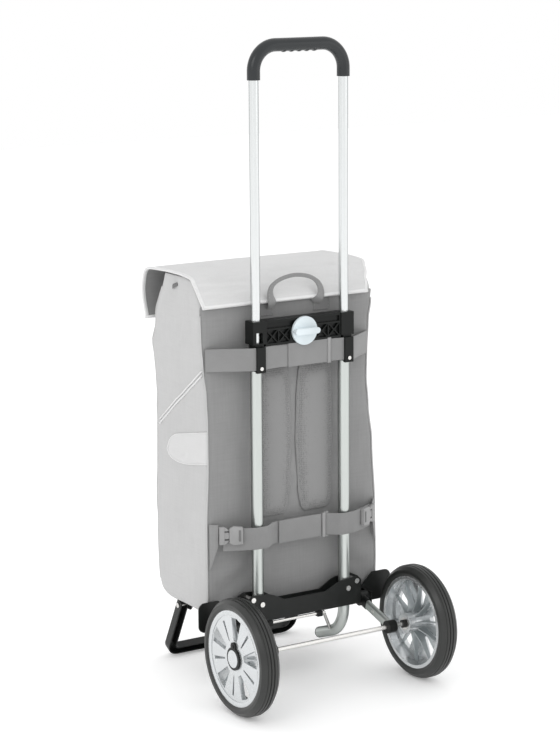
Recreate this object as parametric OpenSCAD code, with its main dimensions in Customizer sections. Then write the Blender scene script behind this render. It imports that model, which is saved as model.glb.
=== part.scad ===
// Two-wheeled folding shopping trolley: an aluminium push frame with a telescopic
// handle, a black steel base with a folding stand, and a soft bag strapped to it.
// +Z is up, +Y is the user's side, the bag hangs on the -Y side. Millimetres.

/* [Frame] */
// Half distance between the two frame tubes
tube_x = 88.5; // [80:0.5:96]
// Outer diameter of the lower tubes
lower_d = 20; // [19.5:0.5:21]
// Outer diameter of the telescopic upper tubes
upper_d = 16; // [15:0.5:16]
// Height of the top ends of the lower tubes
lower_top = 568; // [550:1:575]
// Height of the lower ends of the grip, handle pulled out
grip_bottom = 1045; // [1000:1:1060]

/* [Undercarriage] */
// Wheel radius
wheel_r = 100; // [96:1:102]
// Tyre width
tyre_w = 35; // [32:1:36]
// Distance of the outer wheel faces from the middle
wheel_x = 198; // [196:1:202]
// Distance of the axle behind the tube plane
axle_back = 95; // [92:1:98]
// Height of the hinge that the undercarriage folds about
hinge_z = 128; // [126:1:130]

/* [Base] */
// Half width of the base shovel
shovel_x = 118; // [112:1:120]
// Height of the face that the bag stands on
shovel_z = 120; // [118:1:122]
// Distance from the tube plane forward to the stand's pivots
pivot_front = 193; // [186:1:198]
// Height of the stand's pivots
pivot_z = 108; // [106:1:110]
// Half width of the stand
stand_x = 136; // [136:1:140]
// Forward lean of the stand's legs
stand_a = 27.5; // [24:0.5:30]

/* [Bag] */
// Width of the bag
bag_w = 342; // [320:2:350]
// Depth of the bag
bag_d = 180; // [160:2:186]
// Height of the bag's rim
bag_top = 712; // [690:1:718]
// Radius of the bag's upright front edges
bag_r = 26; // [20:1:40]
// Radius of the bag's lower side edges
bag_low_r = 40; // [30:1:44]
// Thickness of the padded fabric walls
wall = 3; // [2:0.5:4]

/* [Hidden] */
$fn = 48;

eps = 0.01;
run_gap = 0.05;

lower_id = lower_d - 3;
upper_id = upper_d - 2.4;
bend_z = 118;
bend_r = 58;
bend_a = 70;
hook_len = 40;
hook_root = 2;
plug_l = 12;

stand_w = 16;
stand_depth = 15;
stand_wall = 2;
stand_r = 24;
stand_l = (pivot_z - stand_depth / 2 * sin(stand_a)) / cos(stand_a);
stand_reach = stand_l * sin(stand_a) + stand_depth / 2 * cos(stand_a);

// the tube plane sits where the whole trolley is centred on the origin
tube_y = (pivot_front + stand_reach - axle_back - wheel_r) / 2;
pivot_y = tube_y - pivot_front;

axle_y = tube_y + axle_back;
axle_d = 8;
axle_end = 193;
hinge_y = tube_y + 4;
leg_a = atan2(wheel_r - hinge_z, axle_y - hinge_y);
leg_l = norm([axle_y - hinge_y, wheel_r - hinge_z]);
leg_x = 122.5;
leg_t = 9;
leg_h = 18;
leg_start = 9;
leg_rivet_y = 45;
leg_rivet_d = 4;
hub_d = 22.4;
knuckle_in = 117.2;
knuckle_out = 134.4;
guard_y = tube_y - 16.3;

plate_t = 2.3;
plate_x = 116.5;
wing_x = 133.5;
plate_low = 123;
plate_back_y = tube_y + 11.3;
plate_front_y = tube_y - 14;
spacer_y = plate_front_y + plate_t;
spacer_l = plate_back_y - spacer_y;
rivet_d = 5;
outer_rivet_x = 106.5;
outer_rivet_z = 165;
tube_rivet_z = 154.5;
block_in = 102;
hinge_head_x = 139;
rod_y0 = tube_y + 11;
rod_z = 118.5;
rod_d = 5.5;
sheet_t = 2.3;

tyre_in_r = 81.5;
hub_r = 17;
bearing_d = 22;
bearing_w = 7;
spoke_t = 8;
button_r = 21;
button_d = 7;

sleeve_w = 25.5;
sleeve_low = 606;
collar_low = 560.5;
collar_d = 23.6;
sleeve_top = 645;
cross_low = 602;
cross_y = 11;
knob_z = 622;
knob_r = 24.5;
cam_l = 34;
cam_w = 14;
cam_room_r = 18;
shaft_d = 12;
brake_d = 7;
brake_gap = 0.4;
hook_y = tube_y + 14.3;
hook_w = 17;
hook_t = 4;
boss_y = 12.2;
hook_rivet_z = 566;
hook_rivet_d = 4;

grip_d = 22;
grip_bend = 42;
grip_axis_z = grip_bottom + 56;
ridge_d = 16;
ridge_pitch = 15;
upper_low = 562;

bag_back = tube_y - 28;
bag_front = bag_back - bag_d;
bag_low = shovel_z + 0.5;
shoulder_z = 673;
shoulder_dy = 29;
lid_hinge_y = tube_y - 58;
lid_hinge_z = 719.5;
lid_x = 179;
lid_t = 5;
lid_front = bag_front - 9;
lid_drop = 90;
yoke_low = 672.5;
layer_gap = 0.1;
panel_t = 1.9;
strap_t = 1.6;
strap_h = 38.5;
strap_y = tube_y + 13.2;
upper_strap_z = 563;
lower_strap_z = 253;

alu = [0.80, 0.82, 0.82];
steel = [0.72, 0.72, 0.72];
black = [0.10, 0.11, 0.11];
charcoal = [0.20, 0.21, 0.22];
silver_plastic = [0.78, 0.81, 0.83];
rubber = [0.16, 0.16, 0.15];
light_cloth = [0.84, 0.84, 0.84];
mid_cloth = [0.54, 0.54, 0.54];

// ---- helpers ----

module both_sides() {
    children();
    mirror([1, 0, 0]) children();
}

// a straight piece of tube along Z
module tube(d, id, h) {
    difference() {
        cylinder(d = d, h = h);
        translate([0, 0, -eps]) cylinder(d = id, h = h + 2 * eps);
    }
}

// a cylinder along +X
module rod_x(d, l) {
    rotate([0, 90, 0]) cylinder(d = d, h = l);
}

// a cylinder along +Y
module rod_y(d, l) {
    rotate([-90, 0, 0]) cylinder(d = d, h = l);
}

// a round rod from point a to point b
module rod_between(a, b, d) {
    v = b - a;
    translate(a) rotate([0, acos(v[2] / norm(v)), atan2(v[1], v[0])]) cylinder(d = d, h = norm(v));
}

// rounded rectangle centred on the origin
module round_rect(w, h, r) {
    square([w, h - 2 * r], center = true);
    square([w - 2 * r, h], center = true);
    for (sx = [-1, 1], sy = [-1, 1])
        translate([sx * (w / 2 - r), sy * (h / 2 - r)]) circle(r = r);
}

// flat oval, long side along Y
module flat_oval(w, h) {
    square([w, h - w], center = true);
    for (s = [-1, 1]) translate([0, s * (h - w) / 2]) circle(d = w);
}

// an outline in the XZ plane, t thick from y towards +Y
module upright(y, t) {
    translate([0, y + t, 0]) rotate([90, 0, 0]) linear_extrude(t) children();
}

// an outline in the YZ plane, t thick from x towards +X
module sideways(x, t) {
    translate([x, 0, 0]) rotate([90, 0, 90]) linear_extrude(t) children();
}

// unit direction from point a to point b
function way(a, b) = (b - a) / norm(b - a);

// the offset from corner i of a route to the mitred edge of a band of half width s
function mitre(route, i, s) = let(
    last = len(route) - 1,
    v = way(route[max(i - 1, 0)], route[i > 0 ? i : 1]),
    w = way(route[i < last ? i : last - 1], route[min(i + 1, last)]),
    n = [-v[1] - w[1], v[0] + w[0]]) s * n / (1 + v * w);

// a band of height h that follows a route of XY points
module band(route, t, z, h) {
    last = len(route) - 1;
    translate([0, 0, z]) linear_extrude(h) polygon(concat(
        [for (i = [0 : last]) route[i] + mitre(route, i, t / 2)],
        [for (i = [last : -1 : 0]) route[i] - mitre(route, i, t / 2)]));
}

// ---- frame ----

// a solid bar that runs straight down, bends forward and ends in a slightly thinner
// straight that starts inside the bend
module hooked_bar(d, over) {
    translate([tube_x, tube_y, bend_z]) cylinder(d = d, h = lower_top - bend_z + over);
    translate([tube_x, tube_y - bend_r, bend_z]) rotate([-90, 0, 90])
        rotate_extrude(angle = bend_a) translate([bend_r, 0]) circle(d = d);
    hook_end() translate([0, 0, -hook_root]) cylinder(d = d - 0.1, h = hook_root + hook_len + over);
}

module lower_tube() {
    difference() {
        hooked_bar(lower_d, 0);
        hooked_bar(lower_id, 1);
        translate([tube_x, tube_y - lower_d, tube_rivet_z]) rod_y(rivet_d, 2 * lower_d);
    }
}

// the place where the bend ends, with +Z along the tube
module hook_end() {
    translate([tube_x, tube_y - bend_r + bend_r * cos(bend_a), bend_z - bend_r * sin(bend_a)])
        rotate([180 - bend_a, 0, 0]) children();
}

module lower_tube_left() {
    color(alu) lower_tube();
}

module lower_tube_right() {
    color(alu) mirror([1, 0, 0]) lower_tube();
}

module tube_end_plugs() {
    color(charcoal) both_sides() hook_end() translate([0, 0, hook_len - plug_l]) {
        cylinder(d = lower_id - 0.2, h = plug_l);
        translate([0, 0, plug_l]) cylinder(d = lower_d, h = 2);
    }
}

// a plate that is low in the middle and rises to a shoulder at each tube
module plate_outline(right_half) {
    last = len(right_half) - 1;
    polygon(concat(right_half,
        [for (i = [last : -1 : 0]) [-right_half[i][0], right_half[i][1]]]));
}

module rivet_places() {
    both_sides() {
        translate([outer_rivet_x, 0, outer_rivet_z]) children();
        translate([tube_x, 0, tube_rivet_z]) children();
    }
}

module bracket_rear_plate() {
    color(black) difference() {
        upright(plate_back_y, plate_t) plate_outline([[42, 156], [64, 167], [74, 170],
            [107, 173], [plate_x, 165], [plate_x, plate_low]]);
        rivet_places() translate([0, plate_back_y - 1, 0]) rod_y(rivet_d, plate_t + 2);
    }
}

module bracket_front_plate() {
    color(black) difference() {
        upright(plate_front_y, plate_t) plate_outline([[46, 154], [70, 168], [80, 171],
            [110, 173], [126, 165], [wing_x, 157], [wing_x, plate_low]]);
        rivet_places() translate([0, plate_front_y - 1, 0]) rod_y(rivet_d, plate_t + 2);
    }
}

module bracket_spacers() {
    color(steel) both_sides() translate([outer_rivet_x, spacer_y, outer_rivet_z]) rotate([-90, 0, 0])
        tube(9, rivet_d, spacer_l);
}

module bracket_rivets() {
    color(steel) rivet_places() {
        translate([0, plate_front_y, 0]) rod_y(rivet_d, plate_back_y + plate_t - plate_front_y);
        translate([0, plate_back_y + plate_t, 0]) rod_y(9, 2.2);
        translate([0, plate_front_y - 1.5, 0]) rod_y(9, 1.5);
    }
}

module hinge_blocks() {
    color(black) both_sides() difference() {
        translate([block_in, spacer_y, plate_low]) cube([plate_x - block_in, spacer_l, 26]);
        translate([block_in - 1, hinge_y, hinge_z]) rod_x(axle_d, 20);
    }
}

module hinge_pins() {
    color(steel) both_sides() {
        translate([block_in, hinge_y, hinge_z]) rod_x(axle_d, hinge_head_x - block_in);
        translate([hinge_head_x, hinge_y, hinge_z]) rod_x(12, 2);
    }
}

// a round rod under the rear plate whose end is bent down to the right-hand tube
module release_rod() {
    rod_left = [84, rod_y0, rod_z];
    rod_right = [-39, rod_y0, rod_z];
    stay_end = [-77, tube_y - 27, 73];
    color(steel) {
        rod_between(rod_right, rod_left, rod_d);
        translate(rod_right) sphere(d = rod_d + 0.6);
        rod_between(rod_right, stay_end, rod_d);
    }
}

module rod_clips() {
    color(black) for (x = [-34, 68]) difference() {
        translate([x, tube_y + 6, 113.5]) cube([10, 10, plate_low - 113.5]);
        translate([x - 1, rod_y0, rod_z]) rod_x(rod_d, 12);
    }
}

// ---- base shovel and stand ----

module shovel() {
    color(black) difference() {
        union() {
            translate([-shovel_x, pivot_y - 10, shovel_z - sheet_t])
                cube([2 * shovel_x, plate_front_y - 0.5 - pivot_y + 10, sheet_t]);
            translate([-70, plate_front_y - sheet_t - 0.5, shovel_z - sheet_t])
                cube([140, sheet_t, 32]);
            translate([-shovel_x, pivot_y - 10, shovel_z - 9])
                cube([2 * shovel_x, sheet_t, 9]);
            both_sides() sideways(shovel_x - sheet_t, sheet_t) polygon([
                [pivot_y - 10, shovel_z], [plate_front_y - 1, shovel_z],
                [plate_front_y - 1, shovel_z - 8], [pivot_y + 22, shovel_z - 8],
                [pivot_y + 10, pivot_z - 9], [pivot_y - 10, pivot_z - 9]]);
        }
        translate([-shovel_x - 1, pivot_y, pivot_z]) rod_x(rivet_d, 2 * shovel_x + 2);
    }
}

module stand_pins() {
    color(steel) both_sides() {
        translate([shovel_x - sheet_t, pivot_y, pivot_z])
            rod_x(rivet_d, stand_x + 0.4 - shovel_x + sheet_t);
        translate([stand_x + 0.4, pivot_y, pivot_z]) rod_x(9, 1.8);
    }
}

// channel section, across the leg and through its depth, open towards the back
module channel() {
    difference() {
        translate([0, -stand_depth / 2]) square([stand_w, stand_depth]);
        translate([stand_wall, stand_wall - stand_depth / 2])
            square([stand_w - 2 * stand_wall, stand_depth]);
    }
}

// one bent channel: two legs that lean forward, round corners and a foot bar
module stand() {
    head = 7;
    straight_x = stand_x - stand_r;
    color(black) translate([0, pivot_y, pivot_z]) rotate([-stand_a, 0, 0]) difference() {
        union() {
            both_sides() {
                translate([stand_x - stand_w, 0, stand_r - stand_l])
                    linear_extrude(stand_l - stand_r + head) channel();
                translate([stand_x - stand_w, -stand_depth / 2, head])
                    cube([stand_w, stand_depth, stand_wall]);
                translate([straight_x, 0, stand_r - stand_l]) rotate([-90, 0, 0])
                    rotate_extrude(angle = 90) translate([stand_r - stand_w, 0]) channel();
            }
            translate([-straight_x, 0, stand_w - stand_l]) rotate([0, 90, 0])
                linear_extrude(2 * straight_x) channel();
        }
        translate([-stand_x - 1, 0, 0]) rod_x(rivet_d + 2 * run_gap, 2 * stand_x + 2);
    }
}

// ---- undercarriage ----

// the place of the fold hinge, with +Y along the leg towards the axle
module at_hinge() {
    translate([0, hinge_y, hinge_z]) rotate([leg_a, 0, 0]) children();
}

module leg_bar(t, h, l) {
    rotate([-90, 0, 0]) linear_extrude(l) flat_oval(t, h);
}

// flat-oval tube with a round hole where the axle hub passes through
module leg() {
    at_hinge() difference() {
        translate([leg_x, leg_start, 0]) leg_bar(leg_t, leg_h, leg_l - leg_start);
        translate([leg_x, leg_start - 1, 0])
            leg_bar(leg_t - 2.6, leg_h - 2.6, leg_l - leg_start + 2);
        translate([leg_x - leg_t, leg_l, 0]) rod_x(hub_d, 2 * leg_t);
        translate([leg_x - leg_t, leg_rivet_y, 0]) rod_x(leg_rivet_d, 2 * leg_t);
    }
}

module leg_left() {
    color(alu) leg();
}

module leg_right() {
    color(alu) mirror([1, 0, 0]) leg();
}

module leg_rivets() {
    color(steel) both_sides() at_hinge() translate([leg_x, leg_rivet_y, 0]) {
        translate([-leg_t / 2, 0, 0]) rod_x(leg_rivet_d, leg_t);
        for (x = [-leg_t / 2 - 1, leg_t / 2]) translate([x, 0, 0]) rod_x(7, 1);
    }
}

module hinge_knuckles() {
    color(black) both_sides() at_hinge() difference() {
        union() {
            translate([knuckle_in, 0, 0]) rod_x(26, knuckle_out - knuckle_in);
            translate([leg_x, 6, 0]) leg_bar(leg_t + 1.4, leg_h + 3, 16);
        }
        translate([knuckle_in - 1, 0, 0]) rod_x(axle_d + 2 * run_gap, 30);
        translate([leg_x, leg_start, 0]) leg_bar(leg_t, leg_h, 30);
    }
}

// plates in front of the tyres that keep the bag off the wheels
module wheel_guards() {
    color(black) both_sides() {
        upright(guard_y, plate_t) difference() {
            translate([167, 140]) round_rect(62, 52, 12);
            polygon([[135, 143], [135, 170], [163, 170]]);
        }
        difference() {
            translate([knuckle_out, guard_y, 117]) cube([2.4, 34, 24]);
            translate([knuckle_out - 1, hinge_y, hinge_z]) rod_x(axle_d + 2 * run_gap, 5);
        }
    }
}

module axle_hubs() {
    color(black) both_sides() difference() {
        translate([114, axle_y, wheel_r]) rod_x(hub_d, 16);
        translate([113, axle_y, wheel_r]) rod_x(axle_d, 20);
    }
}

module axle() {
    color(steel) translate([-axle_end, axle_y, wheel_r]) rod_x(axle_d, 2 * axle_end);
}

module axle_rings() {
    color(black) both_sides() difference() {
        translate([146.5, axle_y, wheel_r]) rod_x(14, 5);
        translate([145.5, axle_y, wheel_r]) rod_x(axle_d, 7);
    }
}

// ---- wheels ----

// wheel centre with +Z pointing outwards
module at_wheel() {
    translate([wheel_x - tyre_w / 2, axle_y, wheel_r]) rotate([0, 90, 0]) children();
}

module tyre() {
    groove = 2;
    at_wheel() rotate_extrude($fn = 96) difference() {
        polygon([[tyre_in_r, -tyre_w / 2 + 2], [tyre_in_r + 5, -tyre_w / 2],
            [wheel_r - 8, -tyre_w / 2], [wheel_r - 2, -tyre_w / 2 + 6], [wheel_r, -6],
            [wheel_r, 6], [wheel_r - 2, tyre_w / 2 - 6], [wheel_r - 8, tyre_w / 2],
            [tyre_in_r + 5, tyre_w / 2], [tyre_in_r, tyre_w / 2 - 2]]);
        for (z = [-9, -3, 3, 9]) translate([wheel_r - 1.6, z - groove / 2]) square([3, groove]);
    }
}

// one of the five large openings between the broad spokes
module spoke_window() {
    polygon([[30, -5], [68, -15], [71, 0], [68, 15], [30, 5]]);
}

// the narrow slit along the middle of a spoke
module spoke_slit() {
    polygon([[31, -1.2], [66, -2.8], [66, 2.8], [31, 1.2]]);
}

module rim() {
    face = tyre_w / 2 - 4;
    hub_in = -tyre_w / 2 - 11;
    at_wheel() {
        rotate_extrude($fn = 96) polygon([[tyre_in_r, -tyre_w / 2 + 2],
            [tyre_in_r, tyre_w / 2 - 2], [tyre_in_r - 3, tyre_w / 2 - 1.5],
            [tyre_in_r - 8, tyre_w / 2 - 3], [tyre_in_r - 5, 0],
            [tyre_in_r - 6, -tyre_w / 2 + 2]]);
        translate([0, 0, face - spoke_t]) linear_extrude(spoke_t) difference() {
            circle(r = tyre_in_r - 6.5, $fn = 96);
            circle(d = bearing_d);
            translate([-button_r, 0]) circle(d = button_d + 2 * run_gap);
            for (i = [0 : 4]) {
                rotate(i * 72 + 31) spoke_window();
                rotate(i * 72 - 5) spoke_slit();
            }
        }
        difference() {
            translate([0, 0, hub_in]) cylinder(r = hub_r, h = face - spoke_t - hub_in);
            translate([0, 0, hub_in - 1]) cylinder(d = bearing_d, h = bearing_w + 1);
            translate([0, 0, hub_in]) cylinder(d = 12, h = 60);
            translate([0, 0, face - bearing_w]) cylinder(d = bearing_d, h = 20);
        }
    }
}

module bearings() {
    at_wheel() for (z = [-tyre_w / 2 - 11, tyre_w / 2 - 4 - bearing_w]) translate([0, 0, z])
        tube(bearing_d, axle_d + 2 * run_gap, bearing_w);
}

// cover with a lobe that frames the release button
module hub_cap() {
    at_wheel() translate([0, 0, tyre_w / 2 - 4]) difference() {
        union() {
            cylinder(r = 19.5, h = 3);
            translate([-button_r, 0, 0]) cylinder(r = 7.5, h = 3);
        }
        translate([-button_r, 0, -eps]) cylinder(d = button_d + 2 * run_gap, h = 4);
        translate([0, 0, 2]) cylinder(r = 15, h = 2);
    }
}

module cap_disc() {
    at_wheel() translate([0, 0, tyre_w / 2 - 2]) cylinder(r = 15, h = 2);
}

module release_button() {
    at_wheel() translate([-button_r, 0, tyre_w / 2 - 3.5]) {
        cylinder(d = button_d, h = 3.1);
        cylinder(d = button_d - 2, h = 3.5);
    }
}

module tyre_left() {
    color(rubber) tyre();
}

module tyre_right() {
    color(rubber) mirror([1, 0, 0]) tyre();
}

module rim_left() {
    color(silver_plastic) rim();
}

module rim_right() {
    color(silver_plastic) mirror([1, 0, 0]) rim();
}

module bearings_left() {
    color(steel) bearings();
}

module bearings_right() {
    color(steel) mirror([1, 0, 0]) bearings();
}

module hub_cap_left() {
    color(black) hub_cap();
}

module hub_cap_right() {
    color(black) mirror([1, 0, 0]) hub_cap();
}

module cap_disc_left() {
    color(silver_plastic) cap_disc();
}

module cap_disc_right() {
    color(silver_plastic) mirror([1, 0, 0]) cap_disc();
}

module release_button_left() {
    color(black) release_button();
}

module release_button_right() {
    color(black) mirror([1, 0, 0]) release_button();
}

// ---- telescopic handle and its lock ----

// cells with crossed ribs in the back of the housing
module rib_cell(x, w) {
    depth = 5;
    low = 606;
    high = 628;
    difference() {
        translate([x, cross_y - depth, low]) cube([w, depth + 1, high - low]);
        translate([x + w / 2, cross_y - depth - 1, (low + high) / 2])
            for (s = [-1, 1]) rotate([0, s * atan2(high - low, w), 0])
                translate([-w, 0, -1]) cube([2 * w, depth + 0.5, 2]);
    }
}

module lock_housing() {
    sleeve_in = tube_x - sleeve_w / 2;
    color(black) translate([0, tube_y, 0]) difference() {
        union() {
            translate([-sleeve_in, -cross_y, cross_low])
                cube([2 * sleeve_in, 2 * cross_y, sleeve_top - cross_low]);
            both_sides() {
                translate([sleeve_in, -13, sleeve_low])
                    cube([sleeve_w, 26, sleeve_top - sleeve_low]);
                translate([tube_x, 0, collar_low])
                    cylinder(d = collar_d, h = sleeve_low - collar_low);
                translate([tube_x - hook_w / 2, 0, collar_low])
                    cube([hook_w, boss_y, sleeve_low - collar_low]);
            }
        }
        both_sides() {
            translate([tube_x, 0, collar_low - 1])
                cylinder(d = upper_d + 2 * run_gap, h = 100);
            translate([tube_x, 0, collar_low - 1])
                cylinder(d = lower_d, h = lower_top - collar_low + 1);
            translate([0, 0, knob_z]) rod_x(brake_d + 2 * run_gap, tube_x);
            rib_cell(27, 22);
            rib_cell(51, 22);
        }
        translate([-73, cross_y - 4, 631]) cube([146, 5, 10]);
        translate([tube_x - 6.5, 5, 608]) cube([13, 9, 18]);
        translate([0, -6, knob_z]) rod_y(2 * cam_room_r, 12);
        translate([0, 5, knob_z]) rod_y(shaft_d + 2 * run_gap, 10);
    }
}

// upturned hooks that hold the upper strap against the tubes
module strap_hooks() {
    color(black) both_sides() difference() {
        union() {
            translate([tube_x - hook_w / 2, hook_y, collar_low]) cube([hook_w, hook_t, 41.5]);
            translate([tube_x - hook_w / 2, tube_y + boss_y, collar_low - 2])
                cube([hook_w, hook_y + hook_t - tube_y - boss_y, 4]);
        }
        translate([tube_x, tube_y + 12, hook_rivet_z]) rod_y(hook_rivet_d, 10);
    }
}

module hook_rivets() {
    color(steel) both_sides() {
        translate([tube_x, hook_y, hook_rivet_z]) rod_y(hook_rivet_d, hook_t);
        translate([tube_x, hook_y + hook_t, hook_rivet_z]) rod_y(6.5, 1.2);
    }
}

// round knob with a finger bar, a shaft and the cam that spreads the brake shoes
module lock_knob() {
    color(silver_plastic) translate([0, tube_y, knob_z]) {
        translate([0, cross_y + 0.5, 0]) rod_y(2 * knob_r, 4.5);
        translate([0, cross_y + 5, 0]) rotate([-90, 90, 0]) linear_extrude(10)
            flat_oval(10.5, 49);
        rod_y(shaft_d, cross_y + 1);
        translate([0, -4, 0]) rotate([-90, 90, 0]) linear_extrude(8) flat_oval(cam_w, cam_l);
    }
}

module brake_shoe() {
    shoe_in = cam_l / 2 + brake_gap;
    shoe_out = tube_x - upper_d / 2 - brake_gap;
    translate([shoe_in, tube_y, knob_z]) rod_x(brake_d, shoe_out - shoe_in);
}

module brake_shoe_left() {
    color(charcoal) brake_shoe();
}

module brake_shoe_right() {
    color(charcoal) mirror([1, 0, 0]) brake_shoe();
}

module upper_tubes() {
    color(alu) both_sides() translate([tube_x, tube_y, upper_low])
        tube(upper_d, upper_id, grip_bottom + 15 - upper_low);
}

module guide_plugs() {
    color(charcoal) both_sides() translate([tube_x, tube_y, upper_low - 6]) {
        cylinder(d = lower_id - 2 * run_gap, h = 6);
        cylinder(d = upper_id, h = 20);
    }
}

// a U of round section with finger ridges under the bar
module grip() {
    leg_top = grip_axis_z - grip_bend;
    color(charcoal) difference() {
        union() {
            both_sides() {
                translate([tube_x, tube_y, grip_bottom])
                    cylinder(d = grip_d, h = leg_top - grip_bottom);
                translate([tube_x - grip_bend, tube_y, leg_top]) rotate([90, 0, 0])
                    rotate_extrude(angle = 90) translate([grip_bend, 0]) circle(d = grip_d);
            }
            translate([grip_bend - tube_x, tube_y, grip_axis_z])
                rod_x(grip_d, 2 * (tube_x - grip_bend));
            for (i = [-2 : 2])
                translate([i * ridge_pitch, tube_y, grip_axis_z - (grip_d - ridge_d) / 2 - 1.5])
                    sphere(d = ridge_d);
        }
        both_sides() translate([tube_x, tube_y, grip_bottom - 1]) cylinder(d = upper_d, h = 16);
    }
}

// ---- bag ----

// outline of the bag from the side; inset moves its walls inwards
module bag_side(inset, top) {
    polygon([[bag_front + inset, bag_low + inset], [bag_back - inset, bag_low + inset],
        [bag_back - inset, shoulder_z], [bag_back - shoulder_dy - inset, top],
        [bag_front + inset, top]]);
}

// outline of the bag from the back, with round lower edges
module bag_back_view(inset, top) {
    half = bag_w / 2 - inset;
    r = bag_low_r - inset;
    low = bag_low + inset;
    translate([-half, low + r]) square([2 * half, top - low - r]);
    translate([r - half, low]) square([2 * (half - r), r + 1]);
    for (s = [-1, 1]) translate([s * (half - r), low + r]) circle(r = r);
}

module bag_solid(inset, top) {
    intersection() {
        translate([0, (bag_back + bag_front) / 2, bag_low]) linear_extrude(top - bag_low) {
            round_rect(bag_w - 2 * inset, bag_d - 2 * inset, bag_r - inset);
            translate([inset - bag_w / 2, 0]) square([bag_w - 2 * inset, bag_d / 2 - inset]);
        }
        upright(bag_front - 1, bag_d + 2) bag_back_view(inset, top);
        sideways(-bag_w / 2, bag_w) bag_side(inset, top);
    }
}

module bag_body() {
    color(light_cloth) difference() {
        bag_solid(0, bag_top);
        bag_solid(wall, bag_top + eps);
    }
}

module back_panel() {
    color(mid_cloth) upright(bag_back + layer_gap, panel_t) bag_back_view(2, shoulder_z);
}

// two flat padded carrying straps between the tubes
module back_pads() {
    color(mid_cloth) both_sides() upright(bag_back + 2.2, 12)
        translate([37, 429]) round_rect(62, 262, 20);
}

module base_board() {
    color(charcoal) translate([0, (bag_back + bag_front) / 2, bag_low + wall + 0.2])
        linear_extrude(3) round_rect(2 * (bag_w / 2 - bag_low_r), bag_d - 20, 12);
}

// fixed back edge of the cover that slopes over the bag's shoulder
module rear_yoke() {
    color(light_cloth) sideways(-lid_x, 2 * lid_x) polygon([
        [lid_hinge_y + 1, 713.4], [lid_hinge_y + 1, 716.5], [lid_hinge_y + 7, 716],
        [tube_y - 20, yoke_low + 2], [tube_y - 23, yoke_low], [lid_hinge_y + 5, 713]]);
}

module lid() {
    color(light_cloth) {
        translate([-lid_x, lid_front - lid_t, lid_hinge_z - lid_t / 2])
            cube([2 * lid_x, lid_hinge_y - 0.5 - lid_front + lid_t, lid_t]);
        upright(lid_front - lid_t, lid_t)
            translate([0, lid_hinge_z - lid_drop / 2]) round_rect(2 * lid_x - 8, lid_drop, 8);
    }
}

// half ring of webbing
module carry_handle() {
    color(mid_cloth) translate([0, tube_y - 13.5, 657]) rotate([90, 0, 0])
        linear_extrude(5) difference() {
            circle(r = 61);
            circle(r = 50);
            translate([-70, -75]) square([140, 75]);
        }
}

// the strap lies against the back of the tubes and dips between and beside them
module strap(dip_x, dip_y, z) {
    across = [[bag_w / 2 - 2, bag_back + 3.5], [tube_x + 11, strap_y], [tube_x - 11, strap_y],
        [dip_x, dip_y]];
    band(concat(across, [for (i = [3 : -1 : 0]) [-across[i][0], across[i][1]]]),
        strap_t, z, strap_h);
}

module upper_strap() {
    color(mid_cloth) strap(50, tube_y + 9.8, upper_strap_z);
}

module lower_strap() {
    color(mid_cloth) strap(53, tube_y - 4, lower_strap_z);
}

// side-release buckle on the sloping stretch of the lower strap
module buckle() {
    slope = atan2(strap_y - bag_back - 3.5, bag_w / 2 - 2 - tube_x - 11);
    translate([139, tube_y - 5.6, lower_strap_z + strap_h / 2]) rotate([0, 0, -slope])
        rotate([90, 0, 0]) translate([0, 0, -6]) linear_extrude(5) difference() {
            round_rect(40, 44, 5);
            for (s = [-1, 1]) {
                translate([s * 14, 0]) square([3, 30], center = true);
                translate([0, s * 15]) square([14, 5], center = true);
            }
        }
}

module buckle_left() {
    color(mid_cloth) buckle();
}

module buckle_right() {
    color(mid_cloth) mirror([1, 0, 0]) buckle();
}

module strap_ladder() {
    color(mid_cloth) for (z = [lower_strap_z - 3, lower_strap_z + strap_h + 0.5])
        translate([-58, tube_y - 6, z]) cube([8, 4, 2.5]);
}

module strap_tails() {
    color(mid_cloth) both_sides() upright(bag_back + 2.1, 1.2) translate([158, 225])
        rotate(-12) square([22, 50], center = true);
}

// pointed oval reinforcement on the left side wall
module side_patch() {
    color(light_cloth) sideways(bag_w / 2 + layer_gap, 1.2)
        translate([bag_back - 86, 408]) rotate(14) {
            square([64, 52], center = true);
            for (s = [-1, 1]) translate([s * 32, 0]) circle(d = 52);
        }
}

// ---- assembly ----

lower_tube_left();
lower_tube_right();
tube_end_plugs();
bracket_rear_plate();
bracket_front_plate();
bracket_spacers();
bracket_rivets();
hinge_blocks();
hinge_pins();
release_rod();
rod_clips();
shovel();
stand_pins();
stand();
leg_left();
leg_right();
leg_rivets();
hinge_knuckles();
wheel_guards();
axle_hubs();
axle();
axle_rings();
tyre_left();
rim_left();
bearings_left();
hub_cap_left();
cap_disc_left();
release_button_left();
tyre_right();
rim_right();
bearings_right();
hub_cap_right();
cap_disc_right();
release_button_right();
lock_housing();
strap_hooks();
hook_rivets();
lock_knob();
brake_shoe_left();
brake_shoe_right();
upper_tubes();
guide_plugs();
grip();
bag_body();
back_panel();
back_pads();
base_board();
rear_yoke();
lid();
carry_handle();
upper_strap();
lower_strap();
buckle_left();
buckle_right();
strap_ladder();
strap_tails();
side_patch();
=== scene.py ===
"""Looks of a folding shopping trolley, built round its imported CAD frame."""

import math

import bmesh
import bpy
from mathutils import Matrix, Vector, noise


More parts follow.
